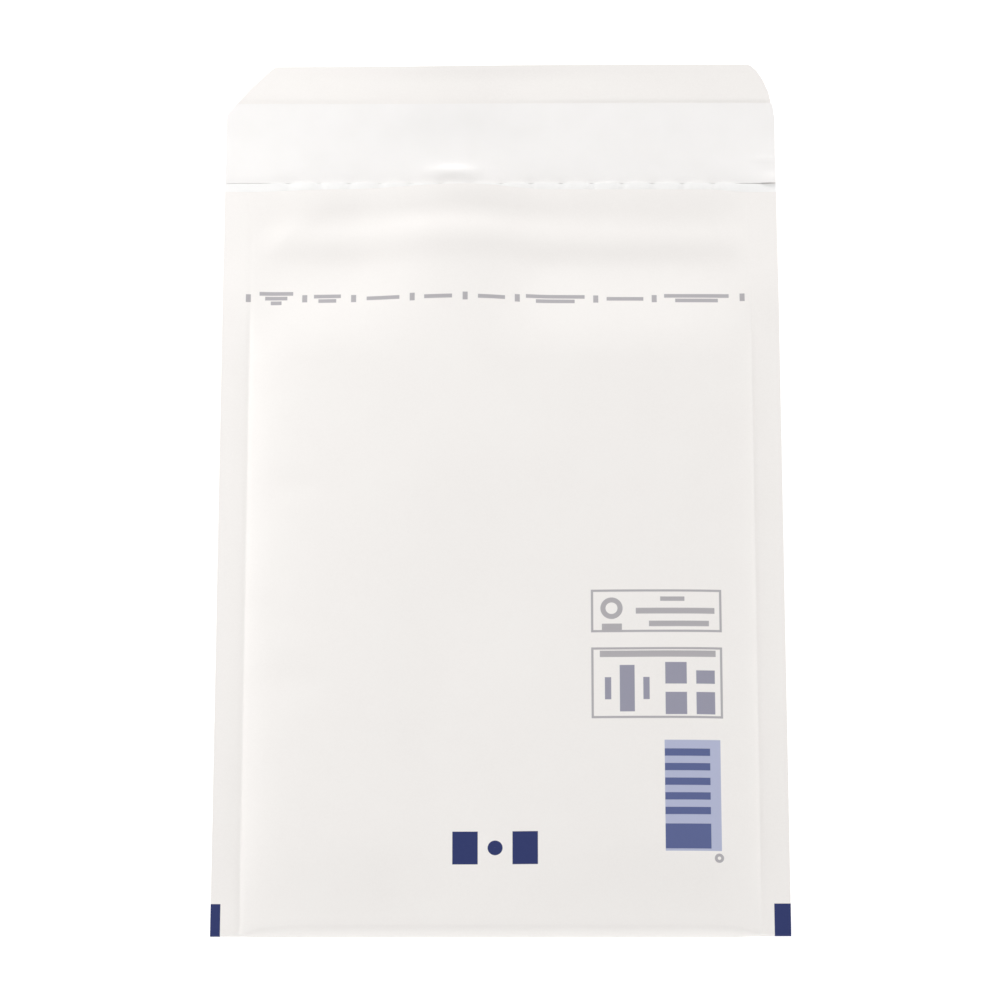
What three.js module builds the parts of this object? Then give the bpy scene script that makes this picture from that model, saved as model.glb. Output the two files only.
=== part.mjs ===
// A padded envelope of a standard size, empty, lying on its back with its flap open.
// Lengths are in millimetres. X runs across the envelope, Y from its bottom fold to the
// free edge of its flap, and Z is up from the table that it lies on.

import * as THREE from 'three';

// Outer sizes of the paper, lying flat
const bodyWidth = 200;
const bodyLength = 275;
const flapLength = 50;
const paperThickness = 0.2;
const clearance = 0.3;

// Side seams, where both layers of film are crushed between the two sheets of paper
const seamWidth = 10;
const crushedFilm = 0.2;
const seamLift = 2.5;
const seamLiftRun = 10;
const seamSettleRun = 45;

// The two layers of bubble film that line the back and the front
const linerThickness = 2.2;
const linerEdgeThickness = 1;
const linerEdgeRun = 14;
const linerReach = 2.5;
const linerSetback = 3;

// The puffed body between the seams, with a rounder shoulder at the left than at the right
const shoulderRise = 8.3;
const leftShoulderPower = 8;
const rightShoulderPower = 20;
const crownRise = 0.8;
const foldHeight = 8;
const foldRun = 30;

// The mouth, with a low arch in the front sheet and a wave behind it
const lipRise = 3;
const archHeight = 6.4;
const archPlace = -15;
const archHalfWidth = 42;
const mouthLevel = 5;
const mouthRun = 20;
const valleyDepth = 0.8;
const valleyPlace = 8.5;
const valleySpread = 4.5;
const ridgeHeight = 1;
const ridgePlace = 20;
const ridgeSpread = 5.5;

// A shallow hollow that deepens along the lower half of the front
const hollowDepth = 0.8;
const hollowPlace = -27;
const hollowSpread = 14;
const hollowTop = 10;
const hollowRun = 70;

// Soft creases at the left shoulder: place, reach along and across, depth and turn in degrees
const creases = [
  { x: -75, y: -1, along: 12, across: 5, depth: 0.7, turn: -6 },
  { x: -77, y: -49, along: 13, across: 6, depth: 0.8, turn: -38 },
  { x: -78, y: -72, along: 14, across: 6, depth: 0.8, turn: -4 },
];

// Cut corners of the flap, left and right
const leftCut = { width: 17.7, height: 19.2, power: 1.1 };
const rightCut = { width: 9.5, height: 20.5, power: 1.6 };

// The adhesive band on the flap and the strip of release paper over it
const stripStart = 3.8;
const stripWidth = 31.5;
const stripThickness = 0.15;
const adhesiveMargin = 3;
const adhesiveThickness = 0.15;

// Steps of the surfaces
const seamSteps = 4;
const shoulderSteps = 4;
const crownSteps = 6;
const flapSteps = 3;
const foldSteps = 6;
const bodySteps = 20;
const mouthSteps = 8;

const halfWidth = bodyWidth / 2;
const weldEdge = halfWidth - seamWidth;
const linerDepth = paperThickness + clearance;
const seamThickness = 2 * (linerDepth + crushedFilm) + clearance;
const bottom = -(bodyLength + flapLength) / 2;
const mouth = bottom + bodyLength;
const flapEdge = mouth + flapLength;

function mix(a, b, share) {
  return a + (b - a) * share;
}

function ease(value) {
  return THREE.MathUtils.smoothstep(value, 0, 1);
}

function bell(distance, spread) {
  return Math.exp(-((distance / spread) ** 2));
}

// Even steps from one value to another, with both ends
function steps(from, to, count) {
  return Array.from({ length: count + 1 }, (_, i) => mix(from, to, i / count));
}

// How far the underside is lifted from the table: flat in the middle, raised at the seams,
// and back on the table where a seam ends at the mouth
function lift(x, y) {
  const across = ease((Math.abs(x) - (weldEdge - seamLiftRun)) / seamLiftRun);
  return seamLift * across * ease((mouth - y) / seamSettleRun);
}

// 1 over the body and 0 on the seams
function shoulder(x) {
  const power = x < 0 ? leftShoulderPower : rightShoulderPower;
  return 1 - Math.min(1, Math.abs(x) / weldEdge) ** power;
}

// Overall thickness of the bottom fold, which is round, so half of it is the fold's radius
function foldThickness(x) {
  return seamThickness + (foldHeight - seamThickness) * shoulder(x);
}

function foldRadius(x) {
  return foldThickness(x) / 2;
}

function foldCentre(x) {
  return bottom + foldRadius(x);
}

// Overall thickness of the front sheet's edge at the mouth
function mouthThickness(x) {
  const reach = Math.min(1, Math.abs(x - archPlace) / archHalfWidth);
  const arch = Math.cos(reach * Math.PI / 2) ** 2;
  return seamThickness + (lipRise + archHeight * arch) * shoulder(x);
}

function creaseDepth(x, y) {
  let depth = 0;
  for (const crease of creases) {
    const turn = THREE.MathUtils.degToRad(crease.turn);
    const along = (x - crease.x) * Math.cos(turn) + (y - crease.y) * Math.sin(turn);
    const across = (y - crease.y) * Math.cos(turn) - (x - crease.x) * Math.sin(turn);
    depth += crease.depth * bell(along, crease.along) * bell(across, crease.across);
  }
  return depth;
}

// Overall thickness of the envelope, from the underside to the top of the front sheet
function thickness(x, y) {
  const crown = 1 - Math.min(1, Math.abs(x) / weldEdge) ** 2;
  const puffed = seamThickness + shoulderRise * shoulder(x) + crownRise * crown;
  const body = mix(foldThickness(x), puffed, ease((y - foldCentre(x)) / foldRun));
  const toMouth = mouth - y;
  const climb = ease((toMouth - mouthLevel) / (mouthRun - mouthLevel));
  const overall = mix(mouthThickness(x), body, climb);
  const ridge = ridgeHeight * bell(toMouth - ridgePlace, ridgeSpread);
  const valley = valleyDepth * bell(toMouth - valleyPlace, valleySpread);
  const alongHollow = ease((hollowTop - y) / hollowRun) * ease((y - foldCentre(x)) / foldRun);
  const hollow = hollowDepth * bell(x - hollowPlace, hollowSpread) * alongHollow;
  return overall + shoulder(x) * (ridge - valley - hollow - creaseDepth(x, y));
}

// Thickness of one layer of bubble film: whole in the body, flat at its cut edge and crushed
// where the envelope is thin, with the pocket open between the two layers
function linerLayer(x, y) {
  const whole = mix(linerEdgeThickness, linerThickness, ease((mouth - y) / linerEdgeRun));
  const room = thickness(x, Math.min(y, mouth)) - 2 * linerDepth - clearance;
  return Math.min(whole, room / 2);
}

// Where the flap ends at each place across it
function flapEnd(x) {
  const cut = x < 0 ? leftCut : rightCut;
  const into = THREE.MathUtils.clamp((Math.abs(x) - halfWidth) / cut.width + 1, 0, 1);
  return flapEdge - cut.height * (1 - (1 - into ** cut.power) ** (1 / cut.power));
}

// Places across the envelope where its section is drawn, closer together at the seams
function stations() {
  const right = [
    ...steps(halfWidth, weldEdge, seamSteps),
    ...steps(weldEdge, weldEdge - seamLiftRun, shoulderSteps).slice(1),
    ...steps(weldEdge - seamLiftRun, 0, crownSteps).slice(1, -1),
  ];
  return [...right.map((x) => -x), 0, ...right.reverse()];
}

// Places along one side of the body, from the bottom fold's centre to an end near the mouth
function alongBody(x, end) {
  return [
    ...steps(foldCentre(x), mouth - mouthRun, bodySteps),
    ...steps(mouth - mouthRun, end, mouthSteps).slice(1),
  ];
}

// A line around the body at one place across it: along the back from backEnd, round the
// bottom fold and along the front to frontEnd. depth gives its distance inside the paper's
// outer face.
function around(x, backEnd, frontEnd, depth) {
  const centre = foldCentre(x);
  const back = alongBody(x, backEnd).reverse().map(
    (y) => new THREE.Vector3(x, y, lift(x, y) + depth(x, y)),
  );
  const radius = foldRadius(x) - depth(x, centre);
  const fold = steps(0, Math.PI, foldSteps).slice(1, -1).map((turn) => new THREE.Vector3(
    x,
    centre - radius * Math.sin(turn),
    lift(x, centre) + foldRadius(x) - radius * Math.cos(turn),
  ));
  const front = alongBody(x, frontEnd).map((y) => {
    const top = lift(x, y) + thickness(x, Math.min(y, mouth));
    return new THREE.Vector3(x, y, top - depth(x, y));
  });
  return [...back, ...fold, ...front];
}

// Closes a loop of points with triangles, working from its turn to its two ends, always
// across the shorter way
function endFaces(loop, turn) {
  const faces = [];
  let [near, far] = [turn - 1, turn];
  while (near > 0 || far < loop.length - 1) {
    const nearStep = near > 0 ? loop[near - 1].distanceTo(loop[far]) : Infinity;
    const farStep = far < loop.length - 1 ? loop[far + 1].distanceTo(loop[near]) : Infinity;
    if (nearStep < farStep) {
      faces.push([near, far, near - 1]);
      near -= 1;
    } else {
      faces.push([near, far, far + 1]);
      far += 1;
    }
  }
  return faces;
}

// A closed solid through loops of points, all of one length, with a flat face at both ends.
// A loop goes out and comes back from its turn on. The second side of a thin sheet is split
// the other way, so that both its sides have the same facets.
function loft(loops, turn, isSheet = false) {
  const count = loops[0].length;
  const faces = [];
  for (let i = 0; i + 1 < loops.length; i++) {
    for (let j = 0; j < count; j++) {
      const next = (j + 1) % count;
      const a = i * count + j;
      const b = i * count + next;
      const c = (i + 1) * count + next;
      const d = (i + 1) * count + j;
      if (isSheet && j >= turn) {
        faces.push(a, b, d, b, c, d);
      } else {
        faces.push(a, b, c, a, c, d);
      }
    }
  }
  const last = (loops.length - 1) * count;
  for (const [a, b, c] of endFaces(loops[0], turn)) {
    faces.push(a, c, b);
  }
  for (const [a, b, c] of endFaces(loops[loops.length - 1], turn)) {
    faces.push(last + a, last + b, last + c);
  }
  const geometry = new THREE.BufferGeometry().setFromPoints(loops.flat());
  geometry.setIndex(faces);
  return facedOut(geometry);
}

// Turns the faces over if they point into the solid
function facedOut(geometry) {
  const place = geometry.getAttribute('position');
  const index = geometry.getIndex().array;
  const [a, b, c] = [new THREE.Vector3(), new THREE.Vector3(), new THREE.Vector3()];
  let volume = 0;
  for (let i = 0; i < index.length; i += 3) {
    a.fromBufferAttribute(place, index[i]);
    b.fromBufferAttribute(place, index[i + 1]);
    c.fromBufferAttribute(place, index[i + 2]);
    volume += a.dot(b.cross(c));
  }
  if (volume < 0) {
    index.reverse();
  }
  return geometry;
}

// One sheet of paper: the flap, the back, the bottom fold and the front
function outerPaper() {
  const loops = stations().map((x) => {
    const flap = steps(flapEnd(x), mouth, flapSteps).slice(0, -1);
    const outside = [
      ...flap.map((y) => new THREE.Vector3(x, y, 0)),
      ...around(x, mouth, mouth, () => 0),
    ];
    const inside = [
      ...flap.map((y) => new THREE.Vector3(x, y, paperThickness)),
      ...around(x, mouth, mouth, () => paperThickness),
    ];
    return [...outside, ...inside.reverse()];
  });
  return loft(loops, loops[0].length / 2, true);
}

// One layer of bubble film, through the points of the body from one place to another
function filmLayer(from, to) {
  const [backEnd, frontEnd] = [mouth + linerReach, mouth - linerSetback];
  const loops = stations().map((x) => {
    const outside = around(x, backEnd, frontEnd, () => linerDepth);
    const inside = around(x, backEnd, frontEnd, (_, y) => linerDepth + linerLayer(x, y));
    return [...outside.slice(from, to), ...inside.slice(from, to).reverse()];
  });
  return loft(loops, loops[0].length / 2, true);
}

// The back layer reaches out past the mouth and stops short of the bottom fold
function backLiner() {
  return filmLayer(0, bodySteps + mouthSteps + 1);
}

// The front layer runs round the bottom fold and stops short of the mouth
function frontLiner() {
  return filmLayer(bodySteps + mouthSteps + 1);
}

// A flat band across the flap, trimmed by the flap's cut corners
function flapBand(start, end, floor, height) {
  return loft(stations().map((x) => {
    const far = Math.min(end, flapEnd(x));
    return [
      new THREE.Vector3(x, start, floor),
      new THREE.Vector3(x, far, floor),
      new THREE.Vector3(x, far, floor + height),
      new THREE.Vector3(x, start, floor + height),
    ];
  }), 2);
}

function adhesiveStrip() {
  const start = mouth + stripStart + adhesiveMargin;
  const end = mouth + stripStart + stripWidth - adhesiveMargin;
  return flapBand(start, end, paperThickness, adhesiveThickness);
}

function releaseStrip() {
  const start = mouth + stripStart;
  const floor = paperThickness + adhesiveThickness;
  return flapBand(start, start + stripWidth, floor, stripThickness);
}

function piece(name, geometry, color, roughness) {
  const material = new THREE.MeshStandardMaterial({ color, roughness, metalness: 0 });
  const mesh = new THREE.Mesh(geometry, material);
  mesh.name = name;
  return mesh;
}

const envelope = new THREE.Group();
envelope.add(
  piece('outer_paper', outerPaper(), 0xf2eeeb, 0.75),
  piece('back_liner', backLiner(), 0xf4f5f6, 0.25),
  piece('front_liner', frontLiner(), 0xf4f5f6, 0.25),
  piece('adhesive_strip', adhesiveStrip(), 0xefe9d8, 0.4),
  piece('release_strip', releaseStrip(), 0xf6f5f5, 0.35),
);

export default envelope;
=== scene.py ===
import math

import bmesh
import bpy
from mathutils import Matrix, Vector, noise


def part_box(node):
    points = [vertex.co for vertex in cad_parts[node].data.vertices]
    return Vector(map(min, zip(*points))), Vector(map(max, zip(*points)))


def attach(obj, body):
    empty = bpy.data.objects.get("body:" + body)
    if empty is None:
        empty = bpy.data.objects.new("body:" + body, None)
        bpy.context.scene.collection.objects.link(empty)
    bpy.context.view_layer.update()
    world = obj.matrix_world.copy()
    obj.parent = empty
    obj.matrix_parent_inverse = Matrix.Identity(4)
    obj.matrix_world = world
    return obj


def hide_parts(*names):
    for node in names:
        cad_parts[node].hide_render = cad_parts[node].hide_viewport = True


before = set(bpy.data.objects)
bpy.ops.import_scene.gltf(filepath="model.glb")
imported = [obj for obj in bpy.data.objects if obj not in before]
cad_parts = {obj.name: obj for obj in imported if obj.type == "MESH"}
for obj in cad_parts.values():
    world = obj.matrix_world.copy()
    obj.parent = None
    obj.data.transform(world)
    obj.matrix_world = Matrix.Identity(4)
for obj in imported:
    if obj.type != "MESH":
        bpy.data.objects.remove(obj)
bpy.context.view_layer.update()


# The outer paper: one sheet of white kraft paper, cut with its flap's corners off, folded
# at the bottom and hot-sealed along both sides. The film inside puffs it into a low cushion,
# and its front stands open in an arch at the mouth. It is printed before it is folded.

MM = 0.001
paper_low, paper_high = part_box("outer_paper")
half_width = paper_high.x / MM
bottom = paper_low.y / MM
flap_edge = paper_high.y / MM
liner_reach = 2.5
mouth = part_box("back_liner")[1].y / MM - liner_reach
seam_width = 10
weld_edge = half_width - seam_width
paper_thickness = 0.2
seam_thickness = 1.7


def mix(a, b, share):
    return a + (b - a) * share


def ease(value):
    value = min(1, max(0, value))
    return value * value * (3 - 2 * value)


def bell(distance, spread):
    return math.exp(-((distance / spread) ** 2))


def wander(x, y, size, seed):
    """Smooth noise from -1 to 1, with lumps about that size."""
    return noise.noise(Vector((x / size, y / size, seed)))


# Pairs of values are for the left and the right half
seam_lifts = (3.5, 4.5)
seam_lift_run = 10
seam_settle_run = 45
mouth_lift = 1.6
mouth_lift_run = 30


def seam_height(x, y):
    """Height of the seams' underside, which curve up off the table, more so at the right."""
    return seam_lifts[x > 0] * ease((mouth - y) / seam_settle_run)


def lift(x, y):
    """Height of the whole underside, which rises beside the seams and at the mouth."""
    beside_seam = ease((abs(x) - (weld_edge - seam_lift_run)) / seam_lift_run)
    at_mouth = mouth_lift * ease((y - mouth) / mouth_lift_run + 1)
    return seam_height(x, y) * beside_seam + at_mouth


shoulder_powers = (8, 12)


def shoulder(x):
    """1 over the body and 0 on the seams."""
    return 1 - min(1, abs(x) / weld_edge) ** shoulder_powers[x > 0]


fold_height = 8
fold_run = 30


def fold_thickness(x):
    low = seam_thickness + seam_lifts[x > 0]
    return mix(low, fold_height, shoulder(x)) - lift(x, bottom)


def fold_centre(x):
    return bottom + fold_thickness(x) / 2


lip_rise = 2.6
lip_runs = (30, 16)
lip_run_inside = 10
lip_settle_run = 25
arch_height = 6
arch_place = -13
arch_halves = (45, 32)


def mouth_thickness(x, to_mouth):
    """Thickness at the front's edge, with the arch left of its middle. The lip that rises
    slowly from the seams there is steeper further in."""
    run = mix(lip_runs[x > 0], lip_run_inside, ease(to_mouth / lip_settle_run))
    lip = lip_rise * ease((weld_edge - abs(x)) / run)
    off_arch = abs(x - arch_place) / arch_halves[x > arch_place]
    return seam_thickness + lip + arch_height * math.cos(min(1, off_arch) * math.pi / 2) ** 2


climb_start = 24
climb_run = 42


def climb(to_mouth):
    """How far the front has risen from the ridge to the full cushion."""
    return ease((to_mouth - climb_start) / climb_run)


wave_place = -18
wave_spread = 38
ridge_rise = 1.15
ridge_place = 20
ridge_spread = 6
valley_least = 0.15
valley_place = 9.5
valley_spread = 5
sag_depth = 0.9
sag_run = 16
left_sag = 1.2
left_sag_start = -30
left_sag_run = 40


def mouth_wave(x, to_mouth):
    """The cross ridge that the stiff film makes, and the valley between it and the arch.
    Beside the arch the front sags from its edge to behind the ridge."""
    arched = bell(x - wave_place, wave_spread)
    sag = sag_depth + left_sag * ease((left_sag_start - x) / left_sag_run)
    sag = sag * (1 - arched) * ease(to_mouth / sag_run)
    ridge = ridge_rise * bell(to_mouth - ridge_place, ridge_spread)
    valley = (valley_least + arched) * bell(to_mouth - valley_place, valley_spread)
    return (ridge - valley - sag) * shoulder(x)


hollow_depth = 2.6
hollow_place = -16
hollow_spreads = (18, 45)
hollow_start = 20
hollow_run = 70


def hollow(x, y):
    """A trough down the lower half of the front, steeper at its left."""
    along = ease((hollow_start - y) / hollow_run) * ease((y - fold_centre(x)) / fold_run)
    return hollow_depth * bell(x - hollow_place, hollow_spreads[x >= hollow_place]) * along


# Creases at the left shoulder: place, reach along and across, depth and turn in degrees
creases = (
    (-75, -1, 12, 5, 0.7, -6),
    (-77, -49, 13, 6, 0.8, -38),
    (-78, -72, 14, 6, 0.8, -4),
)


def creased(x, y):
    depth = 0
    for place_x, place_y, along, across, deep, turn in creases:
        turn = math.radians(turn)
        run = (x - place_x) * math.cos(turn) + (y - place_y) * math.sin(turn)
        off = (y - place_y) * math.cos(turn) - (x - place_x) * math.sin(turn)
        depth += deep * bell(run, along) * bell(off, across)
    return depth


pucker_height = 0.35
pucker_size = 13
pucker_stretch = 0.2
pucker_reach = 7
# Waves in the paper: height, size and seed
paper_waves = ((0.22, 38, 9.2), (0.1, 17, 2.3))
relief_mouth_run = 6
relief_fold_run = 14


def relief(x, y):
    """Small unevenness: puckers that run in from the welds, and slow waves in the paper."""
    beside_weld = bell(weld_edge - abs(x) - pucker_reach, pucker_reach)
    puckers = pucker_height * wander(pucker_stretch * x, y, pucker_size, 4.7) * beside_weld
    waves = sum(height * wander(x, y, size, seed) for height, size, seed in paper_waves)
    off_mouth = ease((mouth - y) / relief_mouth_run)
    off_fold = ease((y - bottom) / relief_fold_run)
    return (puckers + waves) * shoulder(x) * off_mouth * off_fold


shoulder_rise = 8.3
crown_rise = 0.8
groove_depth = 0.12
groove_spread = 0.9
groove_mouth_run = 10


def thickness(x, y):
    """From the underside to the top of the front sheet."""
    crown = 1 - min(1, abs(x) / weld_edge) ** 2
    seam = seam_height(x, y)
    puffed = seam_thickness + seam + (shoulder_rise - seam) * shoulder(x) + crown_rise * crown
    body = mix(fold_thickness(x), puffed - lift(x, y), ease((y - fold_centre(x)) / fold_run))
    to_mouth = mouth - y
    at_mouth = mouth_thickness(x, to_mouth) + mouth_wave(x, to_mouth)
    groove = groove_depth * bell(abs(x) - weld_edge, groove_spread)
    groove *= ease(to_mouth / groove_mouth_run)
    dented = shoulder(x) * (hollow(x, y) + creased(x, y))
    return mix(at_mouth, body, climb(to_mouth)) - dented + relief(x, y) - groove


def steps(start, end, count):
    return [mix(start, end, i / count) for i in range(count + 1)]


mouth_reach = 36


def along_body(back_steps, fold_steps, front_steps, mouth_steps):
    """Rows round the body, from the back's end to the front's: each is a face and a share."""
    mouth_share = 1 - mouth_reach / (mouth - bottom)
    rows = [("back", share) for share in steps(0, 1, back_steps)]
    rows += [("fold", share) for share in steps(0, 1, fold_steps)[1:-1]]
    rows += [("front", share) for share in steps(0, mouth_share, front_steps)]
    rows += [("front", share) for share in steps(mouth_share, 1, mouth_steps)[1:]]
    return rows


def body_point(x, row, depth, back_end, front_end):
    """A point of the body in millimetres, depth inside the paper's outer face."""
    face, share = row
    centre = fold_centre(x)
    if face == "back":
        y = mix(back_end, centre, share)
        return Vector((x, y, lift(x, y) + depth(x, y)))
    if face == "front":
        y = mix(centre, front_end, share)
        inside = min(y, mouth)
        return Vector((x, y, lift(x, inside) + thickness(x, inside) - depth(x, y)))
    radius = fold_thickness(x) / 2
    bend = radius - depth(x, centre)
    turn = share * math.pi
    low = lift(x, centre)
    return Vector((x, centre - bend * math.sin(turn), low + radius - bend * math.cos(turn)))


def shell(name, columns, rows, outer, inner, flat):
    """A closed thin sheet: a grid laid out twice, on its outer and its inner face. The edges
    are bridged while the two still lie flat, one right above the other, so that each meets
    its own copy. outer and inner place a column and row, and flat gives its unfolded place."""
    mesh = bmesh.new()
    layer = mesh.loops.layers.uv.new("flat")
    across, along = len(columns) - 1, len(rows) - 1
    bmesh.ops.create_grid(mesh, x_segments=across, y_segments=along, size=0.5)
    bmesh.ops.duplicate(mesh, geom=mesh.verts[:] + mesh.edges[:] + mesh.faces[:])
    half = len(mesh.verts) // 2
    bmesh.ops.translate(mesh, verts=mesh.verts[half:], vec=(0, 0, -0.001))
    rims = [edge for edge in mesh.edges if edge.is_boundary]
    bmesh.ops.bridge_loops(mesh, edges=rims)
    for index, vertex in enumerate(mesh.verts):
        column = columns[round((vertex.co.x + 0.5) * across)]
        row = rows[round((vertex.co.y + 0.5) * along)]
        place = outer if index < half else inner
        vertex.co = place(column, row) * MM
        vertex.index = index
        spot = flat(column, row)
        for loop in vertex.link_loops:
            loop[layer].uv = spot
    bmesh.ops.recalc_face_normals(mesh, faces=mesh.faces)
    if mesh.calc_volume(signed=True) < 0:
        bmesh.ops.reverse_faces(mesh, faces=mesh.faces)
    for face in mesh.faces:
        face.smooth = True
    for edge in rims:
        edge.smooth = False
    data = bpy.data.meshes.new(name)
    mesh.to_mesh(data)
    mesh.free()
    piece = bpy.data.objects.new(name, data)
    bpy.context.scene.collection.objects.link(piece)
    return piece


right_columns = (
    steps(0, weld_edge - 20, 31)[1:]
    + steps(weld_edge - 20, weld_edge - 2, 14)[1:]
    + steps(weld_edge - 2, weld_edge + 2, 10)[1:]
    + steps(weld_edge + 2, half_width, 4)[1:]
)
columns = [-x for x in reversed(right_columns)] + [0] + right_columns

# The flap's cut corners: width, height and the power of the curve
left_cut = (17.7, 19.2, 1.1)
right_cut = (9.5, 20.5, 1.6)


def flap_end(x):
    """Where the flap ends at each place across it, with its two corners cut off."""
    width, height, power = left_cut if x < 0 else right_cut
    into = min(1, max(0, (abs(x) - half_width) / width + 1))
    return flap_edge - height * (1 - (1 - into**power) ** (1 / power))


curl_rise = 0.5
right_curl_rise = 2.3
right_curl_start = -60
right_curl_run = 130
edge_rise = 0.7
edge_run = 5
edge_place = -5
edge_spread = 55


def flap_rise(x, y):
    """The flap curls up a little towards its free edge, more so at the right."""
    share = max(0, y - mouth) / (flap_edge - mouth)
    curl = curl_rise + right_curl_rise * ease((x - right_curl_start) / right_curl_run)
    edge = edge_rise * ease((y - flap_edge + edge_run) / edge_run)
    edge *= bell(x - edge_place, edge_spread)
    return mouth_lift * (1 - ease(2 * share)) + curl * share**2 + edge


def paper_point(x, row, depth):
    face, share = row
    if face == "flap":
        y = mix(flap_end(x), mouth, share)
        return Vector((x, y, flap_rise(x, y) + depth))
    return body_point(x, row, lambda *_: depth, mouth, mouth)


def paper_flat(x, row):
    """The sheet unfolded, in metres: across it, and along it from the flap's edge."""
    place = paper_point(x, row, 0)
    side = 1 if row[0] == "front" or row[0] == "fold" and row[1] > 0.5 else -1
    along = side * (place.y - bottom)
    return ((x + half_width) * MM, (along + flap_edge - bottom) * MM)


paper_rows = [("flap", share) for share in steps(0, 1, 24)[:-1]]
paper_rows += along_body(50, 12, 110, 36)
paper = shell(
    "outer_paper_sheet",
    columns,
    paper_rows,
    lambda x, row: paper_point(x, row, 0),
    lambda x, row: paper_point(x, row, paper_thickness),
    paper_flat,
)
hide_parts("outer_paper")
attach(paper, "root")


def srgb(red, green, blue):
    """A colour from 0 to 255 on the screen, as the shader's light values."""
    values = [c / 255 for c in (red, green, blue)]
    return tuple(c / 12.92 if c <= 0.04045 else ((c + 0.055) / 1.055) ** 2.4 for c in values) + (1,)


def new_material(name):
    material = bpy.data.materials.new(name)
    material.use_nodes = True
    nodes = material.node_tree.nodes
    return material, material.node_tree.links, nodes["Principled BSDF"]


def add_node(tree, kind, **settings):
    """A node with its properties set, and its inputs filled from values or linked."""
    inputs = settings.pop("inputs", {})
    made = tree.nodes.new(kind)
    for key, value in settings.items():
        setattr(made, key, value)
    for key, value in inputs.items():
        if isinstance(value, bpy.types.NodeSocket):
            tree.links.new(value, made.inputs[key])
        else:
            made.inputs[key].default_value = value
    return made


def math_node(tree, operation, first, second=0.0, clamp=False):
    made = add_node(
        tree, "ShaderNodeMath", operation=operation, use_clamp=clamp, inputs={0: first, 1: second}
    )
    return made.outputs[0]


def new_group(name, inputs, outputs):
    group = bpy.data.node_groups.new(name, "ShaderNodeTree")
    for label, kind, value in inputs:
        socket = group.interface.new_socket(label, in_out="INPUT", socket_type=kind)
        if value is not None:
            socket.default_value = value
    for label, kind in outputs:
        group.interface.new_socket(label, in_out="OUTPUT", socket_type=kind)
    start = group.nodes.new("NodeGroupInput")
    end = group.nodes.new("NodeGroupOutput")
    return group, start, end


# A printed bar, frame or ring with edges as soft as ink on paper, from 0 to 1
def ink_bar_group(name, line=None):
    """A filled bar, or only a line of that width along its edge."""
    group, start, end = new_group(
        name,
        (
            ("Vector", "NodeSocketVector", None),
            ("Centre", "NodeSocketVector", None),
            ("Half Size", "NodeSocketVector", None),
            ("Softness", "NodeSocketFloat", 0.12),
        ),
        (("Ink", "NodeSocketFloat"),),
    )
    shifted = add_node(
        group,
        "ShaderNodeVectorMath",
        operation="SUBTRACT",
        inputs={0: start.outputs["Vector"], 1: start.outputs["Centre"]},
    ).outputs[0]
    away = add_node(
        group, "ShaderNodeVectorMath", operation="ABSOLUTE", inputs={0: shifted}
    ).outputs[0]
    inside = add_node(
        group,
        "ShaderNodeVectorMath",
        operation="SUBTRACT",
        inputs={0: start.outputs["Half Size"], 1: away},
    ).outputs[0]
    parts = add_node(group, "ShaderNodeSeparateXYZ", inputs={0: inside})
    least = math_node(group, "MINIMUM", parts.outputs[0], parts.outputs[1])
    if line:
        least = math_node(group, "MINIMUM", least, math_node(group, "SUBTRACT", line, least))
    share = math_node(group, "DIVIDE", least, start.outputs["Softness"])
    ink = math_node(group, "ADD", share, 0.5, clamp=True)
    group.links.new(ink, end.inputs["Ink"])
    return group


def ink_ring_group():
    group, start, end = new_group(
        "ink_ring",
        (
            ("Vector", "NodeSocketVector", None),
            ("Centre", "NodeSocketVector", None),
            ("Radius", "NodeSocketFloat", 2.0),
            ("Half Line", "NodeSocketFloat", 0.4),
            ("Softness", "NodeSocketFloat", 0.12),
        ),
        (("Ink", "NodeSocketFloat"),),
    )
    away = add_node(
        group,
        "ShaderNodeVectorMath",
        operation="DISTANCE",
        inputs={0: start.outputs["Vector"], 1: start.outputs["Centre"]},
    ).outputs["Value"]
    off_line = math_node(
        group, "ABSOLUTE", math_node(group, "SUBTRACT", away, start.outputs["Radius"])
    )
    inside = math_node(group, "SUBTRACT", start.outputs["Half Line"], off_line)
    share = math_node(group, "DIVIDE", inside, start.outputs["Softness"])
    ink = math_node(group, "ADD", share, 0.5, clamp=True)
    group.links.new(ink, end.inputs["Ink"])
    return group


# Round bumps in staggered rows, as high as the film's bubbles press through the paper
def bubble_group(pitch, radius):
    group, start, end = new_group(
        "bubble_relief", (("Vector", "NodeSocketVector", None),), (("Height", "NodeSocketFloat"),)
    )
    cell = Vector((pitch, pitch * math.sqrt(3), 1))
    nearest = []
    for offset in (Vector((0, 0, 0)), cell / 2):
        moved = add_node(
            group,
            "ShaderNodeVectorMath",
            operation="ADD",
            inputs={0: start.outputs["Vector"], 1: offset},
        ).outputs[0]
        wrapped = add_node(
            group,
            "ShaderNodeVectorMath",
            operation="WRAP",
            inputs={0: moved, 1: cell / 2, 2: -cell / 2},
        ).outputs[0]
        level = add_node(
            group, "ShaderNodeVectorMath", operation="MULTIPLY", inputs={0: wrapped, 1: (1, 1, 0)}
        ).outputs[0]
        nearest.append(
            add_node(
                group, "ShaderNodeVectorMath", operation="LENGTH", inputs={0: level}
            ).outputs["Value"]
        )
    away = math_node(group, "MINIMUM", nearest[0], nearest[1])
    height = add_node(
        group,
        "ShaderNodeMapRange",
        interpolation_type="SMOOTHERSTEP",
        inputs={"Value": away, "From Min": radius * 1.15, "From Max": radius * 0.35},
    ).outputs[0]
    group.links.new(height, end.inputs["Height"])
    return group


bubble_pitch = 11
bubble_radius = 4.9
ink_bar = ink_bar_group("ink_bar")
ink_frame = ink_bar_group("ink_frame", 0.8)
ink_ring = ink_ring_group()
bubble_relief = bubble_group(bubble_pitch, bubble_radius)

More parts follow.
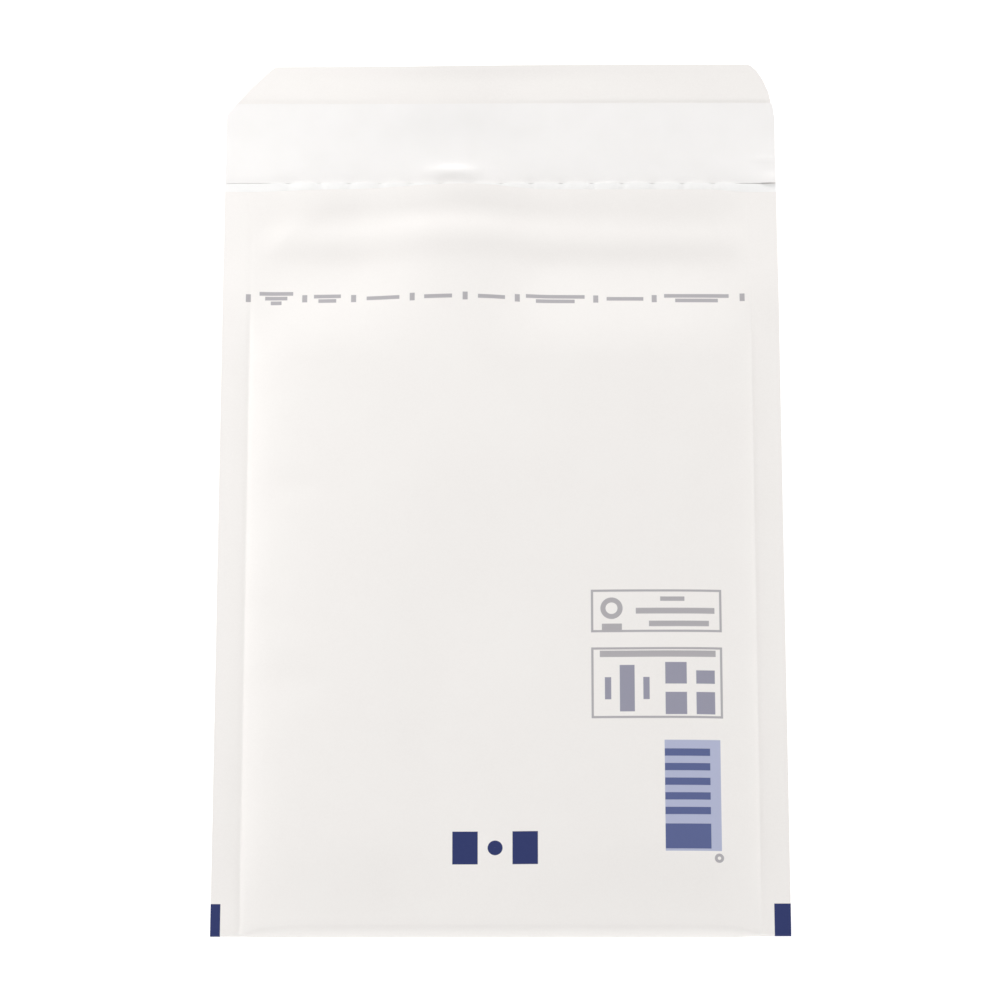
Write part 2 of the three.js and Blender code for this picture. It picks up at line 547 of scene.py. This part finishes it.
# The print, in millimetres on the unfolded sheet: across from its middle and up the front
# from the bottom fold. Bars and frames are left, right, low and high. The small print is
# only grey lines, and the marks are plain shapes.
small_row = 232.4
row_bow = 0.95
line_step = 1.9
line_half = 0.75
line_shrink = 0.17
tick_half_width = 0.9
tick_half_height = 1.5
small_print = (
    (-86.7, -74.6, 3),
    (-67.1, -57.4, 2),
    (-48.1, -36.3, 1),
    (-27.4, -17.4, 1),
    (-8.1, 1.6, 1),
    (9.1, 30.2, 2),
    (38.1, 51.3, 1),
    (58.8, 82.0, 2),
)
small_ticks = (-90.7, -70.4, -52.8, -31.7, -12.7, 6.0, 34.2, 55.2, 86.8)
grey_bars = []


def row_height(x):
    """The row of small print bows up a little towards the sides."""
    return small_row + row_bow * (x / weld_edge) ** 2


for left, right, lines in small_print:
    for line in range(lines):
        shrink = line * (right - left) * line_shrink
        middle = row_height((left + right) / 2)
        height = middle + line_step / 2 * (lines - 1) - line_step * line
        low, high = height - line_half, height + line_half
        grey_bars.append((left + shrink, right - shrink, low, high))
for tick in small_ticks:
    low, high = row_height(tick) - tick_half_height, row_height(tick) + tick_half_height
    grey_bars.append((tick - tick_half_width, tick + tick_half_width, low, high))
grey_bars += [
    (56, 64.5, 118.6, 120.2),
    (47.4, 75, 114.0, 116.1),
    (52, 73, 109.4, 111.4),
    (34.7, 75.2, 98.3, 100.6),
    (35.5, 42.5, 108.0, 110.4),
]
grey_frames = [(31.7, 77.5, 107.3, 122.8), (31.7, 77.5, 76.2, 101.8)]
grey_rings = [(38.9, 116.0, 3.0, 0.9), (75.5, 26.5, 1.1, 0.5)]
slate_bars = [
    (41.6, 46.8, 78.6, 95.4),
    (36.4, 38.6, 83.0, 91.0),
    (49.8, 52.0, 83.0, 91.0),
    (57.5, 65.0, 88.6, 96.4),
    (57.5, 65.0, 77.6, 85.6),
    (68.3, 74.8, 88.6, 93.4),
    (68.3, 74.8, 77.6, 85.6),
]
pale_ground = [(57.0, 76.4, 29.0, 68.4)]
stripe_area = (57.0, 72.8, 41.6, 67.0)
stripe_step = 5.2
blue_bars = [(57.0, 72.8, 29.8, 38.6)]
size_blocks = [(-16.7, -7.9, 24.6, 36.2), (4.1, 12.9, 24.6, 36.2)]
size_dots = [(-1.9, 30.4, 1.3, 1.3)]
corner_marks = [(-100.2, -96.6, -11.3, 11.3), (94.3, 100.2, -11.3, 11.3)]


def printed(tree, flat, group, shapes):
    """One mask for each of these bars or frames."""
    masks = []
    for left, right, low, high in shapes:
        shape = add_node(tree, "ShaderNodeGroup", node_tree=group, inputs={"Vector": flat})
        shape.inputs["Centre"].default_value = ((left + right) / 2, (low + high) / 2, 0)
        shape.inputs["Half Size"].default_value = ((right - left) / 2, (high - low) / 2, 1)
        masks.append(shape.outputs["Ink"])
    return masks


def printed_rings(tree, flat, shapes):
    masks = []
    for x, y, radius, half_line in shapes:
        shape = add_node(tree, "ShaderNodeGroup", node_tree=ink_ring, inputs={"Vector": flat})
        shape.inputs["Centre"].default_value = (x, y, 0)
        shape.inputs["Radius"].default_value = radius
        shape.inputs["Half Line"].default_value = half_line
        masks.append(shape.outputs["Ink"])
    return masks


def printed_stripes(tree, flat, area, step):
    """Even stripes over an area, which say nothing."""
    left, right, low, high = area
    wrapped = add_node(
        tree,
        "ShaderNodeVectorMath",
        operation="WRAP",
        inputs={0: flat, 1: (500, low + step, 500), 2: (-500, low, -500)},
    ).outputs[0]
    stripe = printed(tree, wrapped, ink_bar, [(left, right, low + 0.3, low + step * 0.56)])[0]
    return [math_node(tree, "MULTIPLY", stripe, printed(tree, flat, ink_bar, [area])[0])]


def strongest(tree, masks):
    whole = masks[0]
    for mask in masks[1:]:
        whole = math_node(tree, "MAXIMUM", whole, mask)
    return whole


def mixed(tree, factor, first, second, blend="MIX"):
    made = add_node(tree, "ShaderNodeMix", data_type="RGBA", blend_type=blend)
    for key, value in ((0, factor), (6, first), (7, second)):
        if isinstance(value, bpy.types.NodeSocket):
            tree.links.new(value, made.inputs[key])
        else:
            made.inputs[key].default_value = value
    return made.outputs[2]


def white_paper():
    material, links, surface = new_material("white_kraft_paper")
    tree = material.node_tree
    place = add_node(tree, "ShaderNodeTexCoord").outputs["Object"]
    unfolded = add_node(tree, "ShaderNodeUVMap", uv_map="flat").outputs[0]
    flat = add_node(
        tree,
        "ShaderNodeMapping",
        inputs={
            "Vector": unfolded,
            "Scale": (1 / MM, 1 / MM, 1),
            "Location": (-half_width, bottom - flap_edge, 0),
        },
    ).outputs[0]
    clouds = add_node(
        tree, "ShaderNodeTexNoise", inputs={"Vector": place, "Scale": 55, "Detail": 3}
    ).outputs[0]
    fibres = add_node(
        tree,
        "ShaderNodeTexNoise",
        inputs={"Vector": place, "Scale": 1400, "Detail": 4, "Roughness": 0.65},
    ).outputs[0]
    pulp = mixed(tree, clouds, srgb(238, 234, 231), srgb(243, 240, 237))
    pulp = mixed(tree, fibres, pulp, srgb(246, 243, 240))
    grey = printed(tree, flat, ink_bar, grey_bars) + printed(tree, flat, ink_frame, grey_frames)
    grey = strongest(tree, grey + printed_rings(tree, flat, grey_rings))
    slate = strongest(tree, printed(tree, flat, ink_bar, slate_bars))
    ground = strongest(tree, printed(tree, flat, ink_bar, pale_ground))
    stripes = printed_stripes(tree, flat, stripe_area, stripe_step)
    stripes = strongest(tree, stripes + printed(tree, flat, ink_bar, blue_bars))
    marks = printed(tree, flat, ink_bar, size_blocks + corner_marks)
    marks = strongest(tree, marks + printed_rings(tree, flat, size_dots))
    colour = mixed(tree, math_node(tree, "MULTIPLY", grey, 0.7), pulp, srgb(132, 128, 138))
    colour = mixed(tree, math_node(tree, "MULTIPLY", slate, 0.75), colour, srgb(92, 94, 130))
    colour = mixed(tree, math_node(tree, "MULTIPLY", ground, 0.7), colour, srgb(138, 150, 196))
    colour = mixed(tree, math_node(tree, "MULTIPLY", stripes, 0.9), colour, srgb(62, 76, 130))
    colour = mixed(tree, marks, colour, srgb(24, 38, 92))
    links.new(colour, surface.inputs["Base Color"])
    roughness = add_node(
        tree, "ShaderNodeMapRange", inputs={"Value": fibres, "To Min": 0.56, "To Max": 0.74}
    ).outputs[0]
    links.new(roughness, surface.inputs["Roughness"])
    parts = add_node(tree, "ShaderNodeSeparateXYZ", inputs={0: flat})
    off_seam = add_node(
        tree,
        "ShaderNodeMapRange",
        interpolation_type="SMOOTHSTEP",
        inputs={
            "Value": math_node(tree, "ABSOLUTE", parts.outputs[0]),
            "From Min": weld_edge - 1,
            "From Max": weld_edge - 5,
        },
    ).outputs[0]
    lined = math_node(tree, "GREATER_THAN", parts.outputs[1], bottom - mouth)
    bubbles = add_node(tree, "ShaderNodeGroup", node_tree=bubble_relief, inputs={0: flat})
    pressed = math_node(tree, "MULTIPLY", bubbles.outputs[0], off_seam)
    pressed = math_node(tree, "MULTIPLY", pressed, lined)
    imprint = add_node(
        tree,
        "ShaderNodeBump",
        inputs={"Strength": 0.35, "Distance": 0.00006, "Height": pressed},
    ).outputs[0]
    grain = add_node(
        tree,
        "ShaderNodeBump",
        inputs={"Strength": 0.5, "Distance": 0.00005, "Height": fibres, "Normal": imprint},
    ).outputs[0]
    links.new(grain, surface.inputs["Normal"])
    surface.inputs["Specular IOR Level"].default_value = 0.4
    return material


paper.data.materials.append(white_paper())


# The bubble liner: polyethylene film with sealed air bubbles, laid on the paper before
# it is folded and welded to itself in the side seams. Its bubbles face into the pocket,
# and at the mouth its back layer stands out past the front.

liner_depth = 0.5
liner_thickness = 2.2
liner_edge_thickness = 1
liner_edge_run = 14
liner_setback = 3
liner_overhang = 1.1
pocket_gap = 0.3
film = 0.12
weld_margin = 1.5
weld_run = 2.5
film_fold_start = 0.1
column_step = bubble_pitch / 6
row_step = bubble_pitch * math.sqrt(3) / 2 / 5
back_end = mouth + liner_reach + liner_overhang
front_end = mouth - liner_setback


def liner_layer(x, y):
    """How deep one layer of the film may be, bubbles and all."""
    whole = mix(liner_edge_thickness, liner_thickness, ease((mouth - y) / liner_edge_run))
    room = thickness(x, min(y, mouth)) - 2 * liner_depth - pocket_gap
    return min(whole, room / 2)


def dome(x, y):
    """Height of a bubble, from 0 to 1, in staggered rows across the film."""
    spacing = bubble_pitch * math.sqrt(3) / 2
    row = round((y - bottom) / spacing)
    across = x / bubble_pitch + 0.5 * (row % 2)
    away_x = (across - round(across)) * bubble_pitch
    away = math.hypot(away_x, y - bottom - row * spacing) / bubble_radius
    return math.sqrt(max(0, 1 - away**4))


def inner_depth(x, y):
    inside = ease((weld_edge - weld_margin - abs(x)) / weld_run)
    return liner_depth + film + (liner_layer(x, y) - film) * dome(x, y) * inside


def liner_point(x, row, depth):
    return body_point(x, row, depth, back_end, front_end)


def liner_flat(x, row):
    place = liner_point(x, row, lambda *_: 0)
    return ((x + half_width) * MM, (place.y - bottom) * MM)


half_columns = int(half_width / column_step)
liner_columns = [i * column_step for i in range(-half_columns, half_columns + 1)]
liner_columns = [-half_width] + liner_columns + [half_width]
length_steps = round((mouth - bottom) / row_step)
back_rows = [("back", share) for share in steps(0, 1, length_steps)]
front_rows = [("fold", share) for share in steps(film_fold_start, 1, 8)[:-1]]
front_rows += [("front", share) for share in steps(0, 1, length_steps)]


def film_layer(name, node, rows):
    piece = shell(
        name,
        liner_columns,
        rows,
        lambda x, row: liner_point(x, row, lambda *_: liner_depth),
        lambda x, row: liner_point(x, row, inner_depth),
        liner_flat,
    )
    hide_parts(node)
    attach(piece, "root")
    return piece


liners = [
    film_layer("back_bubble_film", "back_liner", back_rows),
    film_layer("front_bubble_film", "front_liner", front_rows),
]


def bubble_film():
    material, links, surface = new_material("bubble_film")
    tree = material.node_tree
    place = add_node(tree, "ShaderNodeTexCoord").outputs["Object"]
    haze = add_node(
        tree, "ShaderNodeTexNoise", inputs={"Vector": place, "Scale": 160, "Detail": 4}
    ).outputs[0]
    # Painted shade: the film's colour is mixed a little darker where the film is seen at a slant,
    # standing in for the darker rims of the clear bubbles.
    edge = add_node(tree, "ShaderNodeLayerWeight", inputs={"Blend": 0.35}).outputs["Facing"]
    tint = mixed(tree, haze, srgb(251, 250, 249), srgb(254, 254, 253))
    links.new(
        mixed(tree, math_node(tree, "MULTIPLY", edge, 0.2), tint, srgb(228, 229, 230)),
        surface.inputs["Base Color"],
    )
    links.new(
        add_node(
            tree, "ShaderNodeMapRange", inputs={"Value": haze, "To Min": 0.14, "To Max": 0.34}
        ).outputs[0],
        surface.inputs["Roughness"],
    )
    crinkle = add_node(
        tree,
        "ShaderNodeBump",
        inputs={"Strength": 0.35, "Distance": 0.0003, "Height": haze},
    ).outputs[0]
    links.new(crinkle, surface.inputs["Normal"])
    surface.inputs["IOR"].default_value = 1.51
    surface.inputs["Coat Weight"].default_value = 0.3
    surface.inputs["Coat Roughness"].default_value = 0.12
    return material


film_material = bubble_film()
for layer in liners:
    layer.data.materials.append(film_material)


# The adhesive: a band of tacky hot-melt glue run across the flap, nearly from edge to edge.
# The release strip covers it, so it shows only as a thin line at the sides.

glue_low, glue_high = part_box("adhesive_strip")
glue_start = glue_low.y / MM
glue_end = glue_high.y / MM
glue_gap = 0.07
glue_floor = paper_thickness + glue_gap
glue_thickness = 0.15
glue_margin = 0.5


def glue_point(x, share, height):
    y = mix(glue_start, min(glue_end, flap_end(x) - glue_margin), share)
    return Vector((x, y, glue_floor + flap_rise(x, y) + height))


glue = shell(
    "adhesive_band",
    [x for x in columns if abs(x) < half_width],
    steps(0, 1, 20),
    lambda x, share: glue_point(x, share, 0),
    lambda x, share: glue_point(x, share, glue_thickness),
    lambda x, share: ((x + half_width) * MM, share * (glue_end - glue_start) * MM),
)
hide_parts("adhesive_strip")
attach(glue, "root")


def hot_melt():
    material, links, surface = new_material("hot_melt_adhesive")
    tree = material.node_tree
    place = add_node(tree, "ShaderNodeTexCoord").outputs["Object"]
    drag = add_node(
        tree,
        "ShaderNodeMapping",
        inputs={"Vector": place, "Scale": (20, 400, 20)},
    ).outputs[0]
    streaks = add_node(
        tree, "ShaderNodeTexNoise", inputs={"Vector": drag, "Scale": 6, "Detail": 3}
    ).outputs[0]
    links.new(
        mixed(tree, streaks, srgb(232, 222, 192), srgb(242, 235, 212)),
        surface.inputs["Base Color"],
    )
    links.new(
        add_node(
            tree, "ShaderNodeMapRange", inputs={"Value": streaks, "To Min": 0.25, "To Max": 0.45}
        ).outputs[0],
        surface.inputs["Roughness"],
    )
    ridges = add_node(
        tree,
        "ShaderNodeBump",
        inputs={"Strength": 0.4, "Distance": 0.0001, "Height": streaks},
    ).outputs[0]
    links.new(ridges, surface.inputs["Normal"])
    return material


glue.data.materials.append(hot_melt())


# The release strip: silicone-coated paper over the adhesive, trimmed with the flap.
# It lies nearly flat, and its loose corner at the right stands up a little.

strip_low, strip_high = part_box("release_strip")
strip_start = strip_low.y / MM
strip_end = strip_high.y / MM
strip_gap = 0.03
strip_floor = glue_floor + glue_thickness + strip_gap
strip_thickness = 0.12
strip_margin = 2.5
margin_settle = 0.14
loose_columns_start = 84


def strip_rise(x, y):
    """Slow waves, a buckle behind the arch, and the loose lower corner at the right."""
    waves = 0.1 * (1 + wander(x, y, 24, 6.1))
    buckle = 0.9 * bell(x + 17, 8) * bell(y - strip_start - 4.5, 2.5)
    corner = 0.9 * ease((x - 90) / 9) * ease((strip_start + 6 - y) / 6)
    pinch = 0.3 * bell(y - strip_start - 9.5, 1.1) * ease((x - 88) / 8)
    return waves * ease((x + half_width) / 3) + buckle + corner + pinch


def strip_point(x, share, height):
    """The strip lies on the adhesive, and its lower margin bends down onto the flap."""
    y = mix(strip_start, min(strip_end, flap_end(x)), share)
    settle = margin_settle * ease((strip_start + strip_margin - y) / strip_margin)
    rise = strip_rise(x, y) + flap_rise(x, y) - settle
    return Vector((x, y, strip_floor + rise + height))


strip = shell(
    "release_paper",
    steps(-half_width, loose_columns_start, 92)
    + steps(loose_columns_start, half_width, 24)[1:],
    steps(0, 1, 30),
    lambda x, share: strip_point(x, share, 0),
    lambda x, share: strip_point(x, share, strip_thickness),
    lambda x, share: ((x + half_width) * MM, share * (strip_end - strip_start) * MM),
)
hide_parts("release_strip")
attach(strip, "root")


def silicone_paper():
    material, links, surface = new_material("silicone_paper")
    tree = material.node_tree
    place = add_node(tree, "ShaderNodeTexCoord").outputs["Object"]
    clouds = add_node(
        tree, "ShaderNodeTexNoise", inputs={"Vector": place, "Scale": 90, "Detail": 3}
    ).outputs[0]
    grain = add_node(
        tree, "ShaderNodeTexNoise", inputs={"Vector": place, "Scale": 2200, "Detail": 2}
    ).outputs[0]
    links.new(
        mixed(tree, clouds, srgb(242, 240, 238), srgb(247, 245, 244)),
        surface.inputs["Base Color"],
    )
    links.new(
        add_node(
            tree, "ShaderNodeMapRange", inputs={"Value": clouds, "To Min": 0.3, "To Max": 0.42}
        ).outputs[0],
        surface.inputs["Roughness"],
    )
    links.new(
        add_node(
            tree,
            "ShaderNodeBump",
            inputs={"Strength": 0.25, "Distance": 0.00003, "Height": grain},
        ).outputs[0],
        surface.inputs["Normal"],
    )
    return material


strip.data.materials.append(silicone_paper())


# The photographer's table and light: a white sweep, an even light from all round, soft
# lamps at its sides, most of them low, and the camera nearly overhead.

bpy.context.scene.view_settings.view_transform = "Standard"

floor_mesh = bmesh.new()
bmesh.ops.create_grid(floor_mesh, x_segments=1, y_segments=1, size=4)
bmesh.ops.translate(floor_mesh, verts=floor_mesh.verts, vec=(0, 0, -0.0003))
floor_data = bpy.data.meshes.new("floor")
floor_mesh.to_mesh(floor_data)
floor_mesh.free()
floor = bpy.data.objects.new("floor", floor_data)
bpy.context.scene.collection.objects.link(floor)


def seen_rays(tree):
    """1 where the background is looked at, straight or in a gloss, and 0 where it lights."""
    path = add_node(tree, "ShaderNodeLightPath")
    seen = math_node(tree, "MAXIMUM", path.outputs["Is Camera Ray"], path.outputs["Is Glossy Ray"])
    return math_node(tree, "MAXIMUM", seen, path.outputs["Is Transmission Ray"])


floor_material, links, surface = new_material("white_floor")
surface.inputs["Base Color"].default_value = (0.9, 0.9, 0.9, 1)
surface.inputs["Roughness"].default_value = 1
glow = add_node(floor_material.node_tree, "ShaderNodeEmission")
lit = math_node(floor_material.node_tree, "MULTIPLY", seen_rays(floor_material.node_tree), 0.6)
links.new(lit, glow.inputs["Strength"])
both = add_node(
    floor_material.node_tree,
    "ShaderNodeAddShader",
    inputs={0: surface.outputs[0], 1: glow.outputs[0]},
)
output = floor_material.node_tree.nodes["Material Output"]
links.new(both.outputs[0], output.inputs["Surface"])
floor_data.materials.append(floor_material)

world = bpy.data.worlds.new("studio")
bpy.context.scene.world = world
world.use_nodes = True
sky = world.node_tree
ambient = 0.36
sky_strength = add_node(
    sky, "ShaderNodeMapRange", inputs={"Value": seen_rays(sky), "To Min": ambient, "To Max": 1.0}
).outputs[0]
sky.links.new(sky_strength, sky.nodes["Background"].inputs["Strength"])
sky.nodes["Background"].inputs["Color"].default_value = (1, 1, 1, 1)


def soft_box(name, place, width, height, watts):
    """A wide soft lamp that faces the envelope."""
    light = bpy.data.lights.new(name, "AREA")
    light.shape = "RECTANGLE"
    light.size = width
    light.size_y = height
    light.energy = watts
    lamp = bpy.data.objects.new(name, light)
    lamp.location = place
    aim = Vector((0, 0.04, 0)) - lamp.location
    lamp.rotation_euler = aim.to_track_quat("-Z", "Y").to_euler()
    bpy.context.scene.collection.objects.link(lamp)


soft_box("left_high", (-0.75, 0.05, 0.75), 1.0, 0.7, 1.1)
soft_box("left_low", (-0.9, 0.05, 0.33), 1.0, 0.3, 2.9)
soft_box("left_near", (-0.42, 0.12, 0.3), 0.3, 0.2, 0.47)
soft_box("right_high", (0.75, 0.05, 0.75), 1.0, 0.7, 1.9)
soft_box("right_low", (0.9, 0, 0.16), 1.0, 0.2, 3.1)
soft_box("far", (0, 0.95, 0.35), 1.0, 0.3, 5.0)
soft_box("near", (0, -0.95, 0.25), 1.0, 0.25, 3.3)

camera_elevation = math.radians(72.66)
camera_distance = 1.593
camera_aim = Vector((-0.0002, -0.0036, 0))
toward_camera = Vector((0, -math.cos(camera_elevation), math.sin(camera_elevation)))
camera_data = bpy.data.cameras.new("camera")
camera_data.sensor_width = 36
camera_data.lens = 161.2
camera = bpy.data.objects.new("camera", camera_data)
camera.location = camera_aim + toward_camera * camera_distance
camera.rotation_euler = (-toward_camera).to_track_quat("-Z", "Y").to_euler()
bpy.context.scene.collection.objects.link(camera)
bpy.context.scene.camera = camera

bpy.context.view_layer.update()
